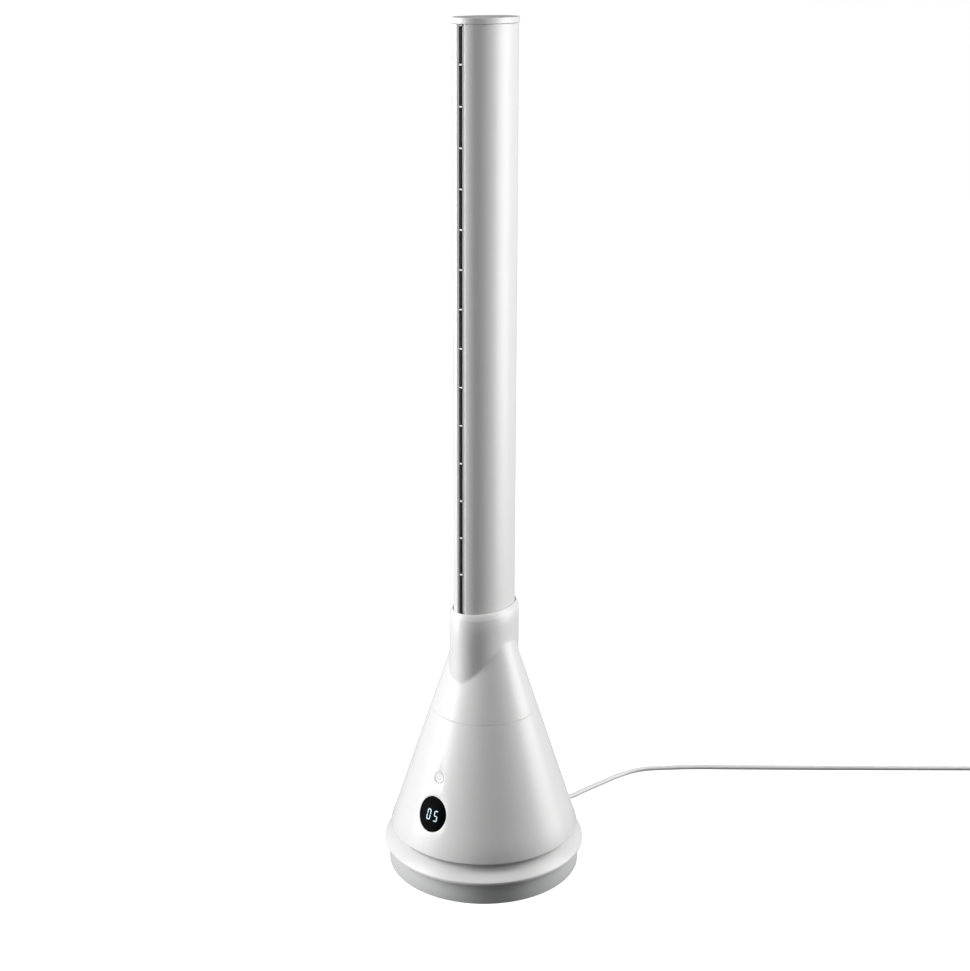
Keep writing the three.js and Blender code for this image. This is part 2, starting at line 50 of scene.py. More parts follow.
# Heights, radii and walls, in millimetres.
HEIGHT = 960
GAP = 0.3
TUBE = {"front": 42.6, "side": 28.4, "wall": 2, "bottom": 235, "top": 953.3}
COLLAR = {
    "front": 47.2, "side": 33.7, "top": 315, "bore_front": 43.4, "bore_side": 29.3,
    "chamfer_in": 3.3, "chamfer_down": 6.5,
}
CAP = {"front": 43.3, "side": 29.2, "base": 953.7, "stopper": 34, "stopper_length": 9}
SLOT = {
    "bottom": 306, "half": 4.6, "edge_round": 1.1,
    "pitch": 42.55, "first_rib": 912.9, "ribs": 14, "rib_height": 1.6,
}
NOZZLE = {
    "half": 4.4, "face": -41.6, "tongue": -39.6, "back": -34.6, "cheek": 0.8,
    "slit_left": -2.5, "slit_right": 0.2, "rib_right": 1.6, "rib_inset": 0.4,
}
CONE = {"rim": 47.9, "seam": 192.3, "apex": 378.3, "taper": 0.326, "wall": 2.5}
RING = {
    "radius": 114.8, "flat": 99.5, "bottom": 26.3, "top": 40.3, "wall": 2.5,
    "from": 24, "to": 48, "steps": 18,
}
FOOT = {"radius": 109.6, "bottom": 0.6, "top": 26.9, "wall": 2.4}
DISPLAY = {"height": 91.3, "half_width": 18.4, "half_height": 19.7}
# The lens's face, with the lit digits on it, lies this far under the cone's surface.
SUNK = 0.12
BUTTON = {"height": 130.9, "radius": 6.2, "rim": 0.9, "step": 0.35, "dish": 0.16}
DIGIT = {"width": 5.2, "height": 12.2, "pitch": 9.6, "stroke": 1.1, "air": 0.25, "slant": 0.05}
PLUG = {
    "length": 34, "width": 36, "height": 14, "relief": 20,
    "pin": 2.0, "pin_sleeve": 1.9, "pin_root": 6, "pin_length": 18.7, "pin_pitch": 19,
}
# The swivel motor's spindle comes up through the foot's deck this far to the right of the post.
PINION_X = 45
CONE_LEAN = math.atan(CONE["taper"])


def turn_by(degrees, axis):
    return Matrix.Rotation(math.radians(degrees), 4, axis)


def move_by(x, y, z):
    """A move in millimetres."""
    return Matrix.Translation((x * MM, y * MM, z * MM))


# ---------------------------------------------------------------- camera

CAMERA_PLACE = (1.1208, -1.4222, 1.0303)
CAMERA_TURN = {"pitch": 14.458, "azimuth": 38.24, "roll": 0.158}
CAMERA_LENS = 63.62
CAMERA_SHIFT = -0.0999


def make_camera():
    data = bpy.data.cameras.new("fan_camera")
    data.lens = CAMERA_LENS
    data.shift_y = CAMERA_SHIFT
    data.clip_start = 0.05
    data.clip_end = 200
    camera = bpy.data.objects.new("fan_camera", data)
    bpy.context.scene.collection.objects.link(camera)
    aim = turn_by(CAMERA_TURN["azimuth"], "Z") @ turn_by(90 - CAMERA_TURN["pitch"], "X")
    camera.matrix_world = Matrix.Translation(CAMERA_PLACE) @ aim @ turn_by(CAMERA_TURN["roll"], "Z")
    bpy.context.scene.camera = camera


make_camera()


# ---------------------------------------------------------------- mains lead

LEAD_RADIUS = 0.003
LEAD_EXIT = (0, 0.1334, 0.0125)
FLOOR_Z = 0.0031

# The lead's way over the floor, from the strain relief towards the coil.
LEAD_ROUTE = [
    (0, 0.1334, 0.0125),
    (0, 0.1405, 0.0125),
    (0.0003, 0.152, 0.0104),
    (0.0012, 0.165, 0.006),
    (0.0028, 0.179, 0.0037),
    (0.0052, 0.198, 0.0032),
    (0.010, 0.2245, FLOOR_Z),
    (0.017, 0.259, FLOOR_Z),
    (0.0286, 0.288, FLOOR_Z),
    (0.0559, 0.317, FLOOR_Z),
    (0.0852, 0.3424, FLOOR_Z),
    (0.1166, 0.3666, FLOOR_Z),
    (0.1504, 0.3929, FLOOR_Z),
    (0.201, 0.4322, FLOOR_Z),
    (0.253, 0.4731, FLOOR_Z),
    (0.306, 0.5148, FLOOR_Z),
    (0.360, 0.5573, FLOOR_Z),
]

# Travel is the lead's way as it meets the coil, and side points from there to the coil's middle.
# The route ends a little short of the coil, and the tail leaves the coil on the far side.
TRAVEL = Vector((0.7858, 0.6185, 0))
SIDE = Vector((0.6185, -0.7858, 0))
COIL_RADIUS = 0.0406
COIL_RUN_IN = 0.070
COIL_TURNS = 5.25
COIL_STEPS = 84
COIL_PITCH = 0.0061
COIL_UPPER = 0.00925
COIL_CLIMB = 0.4
COIL_CLEAR = 0.0235
TAIL = [(COIL_CLEAR, 0.00915), (0.034, 0.0089), (0.046, 0.0075), (0.056, 0.0071), (0.0645, 0.0071)]
PLUG_START = 0.0623
COIL_MIDDLE = Vector((*LEAD_ROUTE[-1][:2], 0)) + TRAVEL * COIL_RUN_IN + SIDE * COIL_RADIUS


def smooth_step(value):
    value = min(1, max(0, value))
    return value * value * (3 - 2 * value)


def coil_points():
    """Two layers of turns: the lower winds inwards, the upper lies on it and winds out again."""
    first = math.atan2(-SIDE.y, -SIDE.x)
    points = []
    for i in range(COIL_STEPS + 1):
        turn = COIL_TURNS * i / COIL_STEPS
        radius = COIL_RADIUS - COIL_PITCH * min(turn, COIL_TURNS - turn)
        lift = smooth_step((turn - COIL_TURNS / 2) / COIL_CLIMB + 0.5)
        angle = first - 2 * math.pi * turn
        height = FLOOR_Z + (COIL_UPPER - FLOOR_Z) * lift
        spot = COIL_MIDDLE + Vector((math.cos(angle), math.sin(angle), 0)) * radius
        points.append((spot.x, spot.y, height))
    return points


def tail_points():
    spots = []
    for across, height in TAIL:
        spot = COIL_MIDDLE + TRAVEL * COIL_RADIUS + SIDE * across
        spots.append((spot.x, spot.y, height))
    return spots


def make_lead():
    meeting = COIL_MIDDLE - TRAVEL * COIL_CLEAR - SIDE * COIL_RADIUS
    points = LEAD_ROUTE + [(meeting.x, meeting.y, FLOOR_Z)] + coil_points() + tail_points()
    data = bpy.data.curves.new("lead_cord", "CURVE")
    data.dimensions = "3D"
    data.resolution_u = 6
    data.render_resolution_u = 6
    data.bevel_depth = 1
    data.bevel_resolution = 5
    data.use_fill_caps = True
    spline = data.splines.new("BEZIER")
    spline.bezier_points.add(len(points) - 1)
    for place, point in zip(points, spline.bezier_points):
        point.co = place
        point.radius = LEAD_RADIUS
        point.handle_left_type = point.handle_right_type = "AUTO"
    cord = bpy.data.objects.new("lead_cord", data)
    bpy.context.scene.collection.objects.link(cord)
    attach(cord, "foot")
    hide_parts("mains_lead", "lead_coil", "lead_tail")
    return cord


lead_cord = make_lead()


# ---------------------------------------------------------------- finishes


# The colour sockets of a Mix node, which shares its sockets' names between kinds of value.
MIX_FIRST, MIX_SECOND, MIX_RESULT = 6, 7, 2


class Value:
    """One output socket that takes part in sums."""

    def __init__(self, finish, socket):
        self.finish = finish
        self.socket = socket

    def sum(self, operation, first, second):
        return self.finish.node("ShaderNodeMath", {"operation": operation}, {0: first, 1: second})

    def __add__(self, other):
        return self.sum("ADD", self, other)

    def __mul__(self, other):
        return self.sum("MULTIPLY", self, other)

    __radd__ = __add__
    __rmul__ = __mul__


class Finish:
    """One material, built from its principled shader outwards."""

    def __init__(self, name, **constants):
        self.material = bpy.data.materials.new(name)
        self.material.use_nodes = True
        self.tree = self.material.node_tree
        self.shader = self.tree.nodes["Principled BSDF"]
        for socket, value in constants.items():
            self.shader.inputs[socket.replace("_", " ")].default_value = value
        self.place = self.node("ShaderNodeTexCoord", output="Object")

    def node(self, kind, settings=None, inputs=None, output=0):
        made = self.tree.nodes.new(kind)
        for name, value in (settings or {}).items():
            setattr(made, name, value)
        for name, value in (inputs or {}).items():
            self.feed(made.inputs[name], value)
        return Value(self, made.outputs[output])

    def feed(self, socket, value):
        if isinstance(value, Value):
            self.tree.links.new(value.socket, socket)
        else:
            socket.default_value = value

    def noise(self, scale, detail=2.0, stretch=None):
        where = self.place
        if stretch:
            where = self.node("ShaderNodeMapping", inputs={"Vector": self.place, "Scale": stretch})
        facts = {"Vector": where, "Scale": scale, "Detail": detail}
        return self.node("ShaderNodeTexNoise", inputs=facts)

    def mix(self, amount, first, second):
        facts = {"Factor": amount, MIX_FIRST: first, MIX_SECOND: second}
        return self.node("ShaderNodeMix", {"data_type": "RGBA"}, facts, MIX_RESULT)

    def color(self, value):
        self.feed(self.shader.inputs["Base Color"], value)

    def roughness(self, value):
        self.feed(self.shader.inputs["Roughness"], value)

    def bump(self, value, strength, distance):
        facts = {"Strength": strength, "Distance": distance, "Height": value}
        self.feed(self.shader.inputs["Normal"], self.node("ShaderNodeBump", inputs=facts))


def shade(red, green, blue):
    return (red, green, blue, 1)


def moulded(name, light, dark, rough, grain, depth):
    """Moulded plastic: faint clouding of its colour, uneven gloss and a fine pressed grain."""
    finish = Finish(name)
    uneven = 0.08
    cloud = finish.noise(9, 3)
    finish.color(finish.mix(cloud, dark, light))
    finish.roughness(finish.noise(34, 4) * uneven + (rough - uneven / 2))
    waves = finish.noise(grain / 60, 1) * 4
    finish.bump(finish.noise(grain, 3) + waves, 0.35, depth)
    return finish


def white_gloss():
    light = shade(0.875, 0.872, 0.868)
    dark = shade(0.855, 0.852, 0.850)
    return moulded("white_gloss", light, dark, 0.34, 1500, 0.00001)


def white_satin():
    light = shade(0.84, 0.84, 0.835)
    dark = shade(0.81, 0.81, 0.805)
    return moulded("white_satin", light, dark, 0.46, 1800, 0.00002)


# Painted shade: a dark grey on the slot's cheek, tongue and ends, standing in for the shade that falls in
# the slot's recess.
def slot_painted_shade():
    light = shade(0.31, 0.31, 0.315)
    dark = shade(0.28, 0.28, 0.285)
    return moulded("slot_painted_shade", light, dark, 0.5, 1800, 0.00002)


def grey_matt():
    light = shade(0.700, 0.711, 0.708)
    dark = shade(0.665, 0.677, 0.677)
    return moulded("grey_matt", light, dark, 0.62, 2400, 0.00005)


def black_window():
    finish = Finish("black_window", Specular_IOR_Level=0.01)
    smear = finish.noise(60, 3)
    finish.color(finish.mix(smear, shade(0.001, 0.0012, 0.002), shade(0.002, 0.0024, 0.004)))
    finish.roughness(smear * 0.06 + 0.26)
    finish.bump(finish.noise(220, 1), 0.08, 0.00001)
    return finish


# Painted shade: a dark grey for the inside of the column and the back of the slot, standing in for the
# shade that falls there.
def duct_painted_shade():
    light = shade(0.29, 0.292, 0.296)
    dark = shade(0.25, 0.252, 0.256)
    return moulded("duct_painted_shade", light, dark, 0.75, 900, 0.00004)


def black_plastic():
    light = shade(0.03, 0.031, 0.033)
    dark = shade(0.02, 0.021, 0.023)
    return moulded("black_plastic", light, dark, 0.5, 1300, 0.00004)


def rubber():
    light = shade(0.045, 0.044, 0.043)
    dark = shade(0.028, 0.028, 0.028)
    return moulded("rubber", light, dark, 0.85, 2000, 0.0001)


def nylon():
    light = shade(0.74, 0.73, 0.69)
    dark = shade(0.68, 0.67, 0.63)
    return moulded("nylon", light, dark, 0.48, 1200, 0.00003)


def steel():
    finish = Finish("steel", Metallic=1.0)
    brushing = finish.noise(300, 4, (1, 1, 14))
    finish.color(finish.mix(brushing, shade(0.42, 0.43, 0.44), shade(0.62, 0.62, 0.63)))
    finish.roughness(brushing * 0.22 + 0.22)
    finish.bump(brushing, 0.3, 0.00003)
    return finish


def circuit_board():
    """Green lacquer over copper tracks, which stand a little proud."""
    finish = Finish("circuit_board")
    facts = {"Vector": finish.place, "Scale": 110.0, "Mortar Size": 0.012, "Bias": 0.1}
    tracks = finish.node("ShaderNodeTexBrick", inputs=facts, output="Fac")
    speckle = finish.noise(500, 2)
    lacquer = finish.mix(speckle, shade(0.012, 0.10, 0.045), shade(0.018, 0.13, 0.06))
    finish.color(finish.mix(tracks, lacquer, shade(0.05, 0.27, 0.12)))
    finish.roughness(speckle * 0.15 + 0.28)
    finish.bump(tracks + speckle * 0.1, 0.4, 0.00004)
    return finish


def white_lead():
    light = shade(0.80, 0.80, 0.795)
    dark = shade(0.74, 0.74, 0.735)
    return moulded("white_lead", light, dark, 0.42, 1100, 0.00003)


def printed_grey():
    light = shade(0.55, 0.55, 0.555)
    dark = shade(0.50, 0.50, 0.505)
    return moulded("printed_grey", light, dark, 0.5, 1500, 0.00001)


def lit_digit():
    """Pale blue-white light, a touch weaker where the diode behind it is further off."""
    finish = Finish("lit_digit", Base_Color=shade(0.35, 0.5, 0.55), Emission_Strength=0.8)
    patches = finish.noise(420, 1)
    glow = finish.mix(patches, shade(0.28, 0.48, 0.55), shade(0.52, 0.69, 0.73))
    finish.feed(finish.shader.inputs["Emission Color"], glow)
    finish.roughness(patches * 0.1 + 0.2)
    return finish


FINISHES = {
    make.__name__: make().material
    for make in (
        white_gloss, white_satin, slot_painted_shade, grey_matt, black_window, duct_painted_shade, black_plastic, rubber,
        nylon, steel, circuit_board, white_lead, printed_grey, lit_digit,
    )
}

CAD_FINISHES = {
    "grey_matt": ["foot_shell", "bottom_cover"],
    "rubber": ["rubber_foot", "motor_damper", "column_seat"],
    "steel": [
        "cover_screw", "ballast_plate", "swivel_motor", "cone_screw", "fan_motor", "motor_shaft",
        "impeller_nut", "plug_pin",
    ],
    "nylon": ["swivel_post", "retaining_ring", "glide_ring", "ring_gear", "drive_pinion"],
    "white_gloss": [
        "turntable", "lower_cone", "upper_cone", "power_button", "column_shell", "top_cap",
    ],
    "white_satin": ["inlet_grille", "slot_nozzle"],
    "circuit_board": ["power_board", "display_board"],
    "black_plastic": [
        "intake_shroud", "motor_mount", "impeller", "diffuser", "digit_module", "button_switch",
    ],
    "black_window": ["display_window"],
    "white_lead": ["strain_relief", "mains_lead", "lead_coil", "lead_tail", "plug_body"],
}


def paint(piece, finish):
    piece.data.materials.clear()
    piece.data.materials.append(FINISHES[finish])


def paint_cad_nodes():
    for finish, nodes in CAD_FINISHES.items():
        for name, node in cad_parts.items():
            if any(name == base or name.rstrip("1234").rstrip("_") == base for base in nodes):
                paint(node, finish)


paint_cad_nodes()
paint(lead_cord, "white_lead")


# ---------------------------------------------------------------- workshop


def alone(piece):
    bpy.ops.object.select_all(action="DESELECT")
    piece.select_set(True)
    bpy.context.view_layer.objects.active = piece


def edit(piece):
    alone(piece)
    bpy.ops.object.mode_set(mode="EDIT")
    bpy.ops.mesh.select_mode(type="VERT")
    bpy.ops.mesh.select_all(action="SELECT")


def leave():
    bpy.ops.object.mode_set(mode="OBJECT")


def pick(kind, test):
    """Selects the vertices, edges or faces of the piece in edit mode that pass the test."""
    bpy.ops.mesh.select_mode(type=kind)
    bpy.ops.mesh.select_all(action="DESELECT")
    mesh = bpy.context.edit_object.data
    shape = bmesh.from_edit_mesh(mesh)
    parts = {"VERT": shape.verts, "EDGE": shape.edges, "FACE": shape.faces}[kind]
    parts.ensure_lookup_table()
    shape.normal_update()
    for part in parts:
        if test(part):
            part.select_set(True)
    shape.select_flush_mode()
    bmesh.update_edit_mesh(mesh)


def middle_of(part):
    if isinstance(part, bmesh.types.BMFace):
        return part.calc_center_median() / MM
    return sum((v.co for v in part.verts), Vector()) / len(part.verts) / MM


def sharp(edge, degrees=50):
    return len(edge.link_faces) == 2 and edge.calc_face_angle(0) > math.radians(degrees)


def circle(name, sides, radius, height, fill="NOTHING"):
    bpy.ops.object.select_all(action="DESELECT")
    bpy.ops.mesh.primitive_circle_add(
        vertices=sides, radius=radius * MM, location=(0, 0, height * MM), fill_type=fill
    )
    piece = bpy.context.object
    piece.name = piece.data.name = name
    bpy.ops.object.transform_apply(location=True, rotation=True, scale=True)
    edit(piece)
    return piece


def draw_out(radius, height, next_radius, next_height):
    """Extrudes the selected ring to the next radius and height."""
    rise = (0, 0, (next_height - height) * MM)
    bpy.ops.mesh.extrude_region_move(TRANSFORM_OT_translate={"value": rise})
    if next_radius == 0:
        bpy.ops.mesh.merge(type="CENTER")
        return
    scale = next_radius / radius
    middle = (0, 0, next_height * MM)
    bpy.ops.transform.resize(value=(scale, scale, 1), center_override=middle)


def close_up():
    """Bridges the two open ends, merges doubles and turns all faces outwards."""
    bpy.ops.mesh.select_all(action="DESELECT")
    bpy.ops.mesh.select_mode(type="EDGE")
    bpy.ops.mesh.select_non_manifold(extend=False)
    shape = bmesh.from_edit_mesh(bpy.context.edit_object.data)
    if any(edge.select for edge in shape.edges):
        bpy.ops.mesh.bridge_edge_loops()
    tidy_up()


def tidy_up():
    bpy.ops.mesh.select_all(action="SELECT")
    bpy.ops.mesh.remove_doubles(threshold=0.000001)
    bpy.ops.mesh.normals_make_consistent(inside=False)


def smooth(piece, degrees=32):
    alone(piece)
    bpy.ops.object.shade_smooth_by_angle(angle=math.radians(degrees))


def turned(name, outline, sides=CONE_SIDES, squeeze=1):
    """A turned piece: one ring is drawn out along the outline of (radius, height)."""
    outline = list(outline)
    foot_pole = outline.pop(0) if outline[0][0] == 0 else None
    first = outline.pop(0)
    piece = circle(name, sides, *first)
    radius, height = first
    for next_radius, next_height in outline:
        draw_out(radius, height, next_radius, next_height)
        radius, height = next_radius, next_height
    if foot_pole:
        bpy.ops.mesh.select_mode(type="VERT")
        bpy.ops.mesh.select_non_manifold(extend=False)
        draw_out(*first, *foot_pole)
    close_up()
    if squeeze != 1:
        bpy.ops.transform.resize(value=(squeeze, 1, 1), center_override=(0, 0, 0))
        bpy.ops.mesh.normals_make_consistent(inside=False)
    leave()
    smooth(piece)
    return piece


def rounded(middle_radius, middle_height, size, start, end, steps):
    """Points of an arc in an outline, from the start angle to the end angle in degrees."""
    points = []
    for i in range(steps + 1):
        angle = math.radians(start + (end - start) * i / steps)
        points.append((
            middle_radius + size * math.cos(angle),
            middle_height + size * math.sin(angle),
        ))
    return points


def modify(piece, kind, **settings):
    alone(piece)
    modifier = piece.modifiers.new(kind.lower(), kind)
    for name, value in settings.items():
        setattr(modifier, name, value)
    bpy.ops.object.modifier_apply(modifier=modifier.name)


def cut_away(piece, cutter):
    modify(piece, "BOOLEAN", operation="DIFFERENCE", solver="EXACT", object=cutter)
    bpy.data.objects.remove(cutter)


def place(piece, matrix):
    piece.matrix_world = matrix
    bpy.context.view_layer.update()
    alone(piece)
    bpy.ops.object.transform_apply(location=True, rotation=True, scale=True)


def again(piece, name):
    """A copy with its own mesh."""
    copy = piece.copy()
    copy.data = piece.data.copy()
    copy.name = copy.data.name = name
    bpy.context.scene.collection.objects.link(copy)
    return copy


def together(name, pieces):
    alone(pieces[0])
    for piece in pieces[1:]:
        piece.select_set(True)
    bpy.ops.object.join()
    whole = bpy.context.view_layer.objects.active
    whole.name = whole.data.name = name
    return whole


def flat_shape(name, outline, height):
    """One flat face with the given corners, listed anticlockwise, left in edit mode."""
    piece = circle(name, len(outline), 1, height, fill="NGON")
    shape = bmesh.from_edit_mesh(piece.data)
    around = sorted(shape.verts, key=lambda v: math.atan2(v.co.y, v.co.x))
    for vertex, (x, y) in zip(around, outline):
        vertex.co.x = x * MM
        vertex.co.y = y * MM
    bmesh.update_edit_mesh(piece.data)
    return piece


def prism(name, outline, bottom, top):
    """A straight bar with the given outline in X and Y, from bottom to top, left in edit mode."""
    piece = flat_shape(name, outline, bottom)
    rise = (0, 0, (top - bottom) * MM)
    bpy.ops.mesh.extrude_region_move(TRANSFORM_OT_translate={"value": rise})
    tidy_up()
    return piece


def bevel(offset, segments=3):
    bpy.ops.mesh.bevel(offset=offset * MM, segments=segments, affect="EDGES", clamp_overlap=True)


def repaint(piece, finish):
    """Gives the picked faces of the piece in edit mode another finish, and leaves edit mode."""
    piece.data.materials.append(FINISHES[finish])
    piece.active_material_index = len(piece.data.materials) - 1
    bpy.ops.object.material_slot_assign()
    leave()


def finish_piece(piece, body, finish):
    paint(piece, finish)
    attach(piece, body)


# ---------------------------------------------------------------- foot and turntable


def straight_cutter(radius, bottom, top, sides=SMALL_SIDES):
    """A round bar along Z for cutting a hole."""
    cutter = circle("cutter", sides, radius, bottom, fill="NGON")
    bpy.ops.mesh.extrude_region_move(TRANSFORM_OT_translate={"value": (0, 0, (top - bottom) * MM)})
    tidy_up()
    leave()
    return cutter


def make_foot():
    """An open-bottomed tub with a hole for the post, one for the pinion's spindle and one for the lead."""
    inside = FOOT["radius"] - FOOT["wall"]
    under = FOOT["top"] - FOOT["wall"]
    post_hole, low_round, high_round = 13, 0.8, 1.0
    outline = [
        (inside, FOOT["bottom"]),
        *rounded(FOOT["radius"] - low_round, FOOT["bottom"] + low_round, low_round, -90, 0, 4),
        *rounded(FOOT["radius"] - high_round, FOOT["top"] - high_round, high_round, 0, 90, 5),
        (post_hole, FOOT["top"]),
        (post_hole, under),
        (inside, under),
    ]
    foot = turned("foot_tub", outline)
    spindle_room, lead_room = 3.4, 5
    spindle_hole = straight_cutter(spindle_room, under - 1, FOOT["top"] + 1)
    place(spindle_hole, move_by(PINION_X, 0, 0))
    cut_away(foot, spindle_hole)
    lead_hole = straight_cutter(lead_room, -4, 4)
    place(lead_hole, Matrix.Translation((0, (FOOT["radius"] - 1) * MM, LEAD_EXIT[2])) @ turn_by(90, "X"))
    cut_away(foot, lead_hole)
    edit(foot)
    tidy_up()
    leave()
    smooth(foot)
    finish_piece(foot, "foot", "grey_matt")
    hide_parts("foot_shell")


def make_rubber_pads():
    """Four round pads with a peg that plugs into the cover."""
    pad_circle, wide, thick, soft = 92, 9, 1.9, 0.8
    peg, peg_top = 2.5, 6
    outline = [
        (0, 0), (wide - 2 * soft, 0), *rounded(wide - soft, soft, soft, -90, 0, 4), (wide, thick),
        (peg, thick), (peg, peg_top), (0, peg_top),
    ]
    pad = turned("pad_1", outline, SMALL_SIDES)
    place(pad, move_by(pad_circle, 0, 0))
    pads = [pad] + [again(pad, f"pad_{i + 1}") for i in range(1, 4)]
    for i, each in enumerate(pads):
        place(each, turn_by(90 * i, "Z"))
        finish_piece(each, "foot", "rubber")
        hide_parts(f"rubber_foot_{i + 1}")


def shoulder(depth):
    """The ring's shoulder at a depth under its outside: an arc between its first and its last slope."""
    first, last = math.radians(RING["from"]), math.radians(RING["to"])
    size = (RING["radius"] - RING["flat"]) / (math.sin(last) - math.sin(first))
    middle = (RING["flat"] - size * math.sin(first), RING["top"] - size * math.cos(first))
    return rounded(*middle, size - depth, 90 - RING["from"], 90 - RING["to"], RING["steps"])


def make_turntable():
    """A ring with a hub, a rail that glides on the foot, a sloping shoulder and a short lip."""
    hub_bore, hub_wide, hub_low = 16.5, 20, 29.9
    rail_in, rail_out, rail_low = 71, 75, 30.6
    low_round, lip_round, lip_drop = 0.4, 0.5, 0.2
    under = RING["top"] - RING["wall"]
    outside = shoulder(0)
    inside = shoulder(RING["wall"])
    lip = outside[-1][1]
    outline = [
        (hub_bore, hub_low), (hub_wide, hub_low), (hub_wide, under),
        (rail_in, under), (rail_in, rail_low), (rail_out, rail_low), (rail_out, under),
        *inside,
        (inside[-1][0], RING["bottom"] + 0.1),
        (inside[-1][0] + 0.1, RING["bottom"]),
        *rounded(RING["radius"] - low_round, RING["bottom"] + low_round, low_round, -90, 0, 4),
        *rounded(RING["radius"] - lip_round, lip - lip_drop, lip_round, 0, 90 - RING["to"], 4),
        *reversed(outside[:-1]),
        (hub_bore, RING["top"]),
    ]
    ring = turned("turntable_ring", outline)
    finish_piece(ring, "head", "white_gloss")
    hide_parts("turntable")


# ---------------------------------------------------------------- cone and collar


def cone_radius(height):
    return (CONE["apex"] - height) * CONE["taper"]


def make_lower_cone():
    """The lower shell, with a screw flange inside and openings for the lens and the button."""
    rim, seam, wall = CONE["rim"], CONE["seam"], CONE["wall"]

    def inside(height):
        return cone_radius(height) - wall

    edge = 0.7
    flange_in, flange_low, flange_high = 87, 62.8, 65.3
    outline = [
        (inside(rim) + 0.4, rim),
        *rounded(cone_radius(rim) - edge, rim + edge, edge, -90, 12, 5),
        *[(cone_radius(z), z) for z in (70, 92, 114, 136, 158, 178, seam - 0.25)],
        (cone_radius(seam) - 0.25, seam),
        (inside(seam), seam),
        (inside(flange_high), flange_high), (flange_in, flange_high),
        (flange_in, flange_low), (inside(flange_low), flange_low),
    ]
    cone = turned("cone_skirt", outline)
    window = panel_cutter(DISPLAY["half_width"] + GAP, DISPLAY["half_height"] + GAP, DISPLAY["height"])
    cut_away(cone, window)
    hole = panel_cutter(BUTTON["radius"] + GAP, BUTTON["radius"] + GAP, BUTTON["height"])
    cut_away(cone, hole)
    edit(cone)

    panel_half, panel_low, panel_high, near = 25, 66, 145, 0.12

    def hole_edge(e):
        spot = middle_of(e)
        if spot.y > 0 or abs(spot.x) > panel_half or not panel_low < spot.z < panel_high or not sharp(e):
            return False
        return abs(math.hypot(spot.x, spot.y) - cone_radius(spot.z)) < near

    pick("EDGE", hole_edge)
    bevel(0.25, 2)
    leave()
    smooth(cone)
    finish_piece(cone, "head", "white_gloss")
    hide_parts("lower_cone")


def on_panel(height):
    """The place of a flat panel, with +Y up the slope and +Z outwards, on the front of the cone."""
    turn = Matrix.Rotation(math.pi / 2 - CONE_LEAN, 4, "X")
    return move_by(0, -cone_radius(height), height) @ turn


def panel_cutter(half_width, half_height, height):
    """An oval bar through the cone's wall, square to its slope at the given height."""
    cutter = straight_cutter(1, -12, 8, OPENING_SIDES)
    edit(cutter)
    bpy.ops.transform.resize(value=(half_width, half_height, 1), center_override=(0, 0, 0))
    leave()
    place(cutter, on_panel(height))
    return cutter


def oval_radius(angle, front, side):
    return 1 / math.hypot(math.cos(angle) / side, math.sin(angle) / front)


def guided(name, rows, sides):
    """Like a turned piece, but each ring is moved to its row, a function of the angle."""
    any_radius = 50
    piece = circle(name, sides, any_radius, 0)
    for number, row in enumerate(rows):
        if number:
            bpy.ops.mesh.extrude_region_move(TRANSFORM_OT_translate={"value": (0, 0, 0)})
        shape = bmesh.from_edit_mesh(piece.data)
        for vertex in [v for v in shape.verts if v.select]:
            angle = math.atan2(vertex.co.y, vertex.co.x)
            radius, height = row(angle)
            vertex.co = Vector((radius * math.cos(angle), radius * math.sin(angle), height)) * MM
        bmesh.update_edit_mesh(piece.data)
    close_up()
    leave()
    smooth(piece, 40)
    return piece


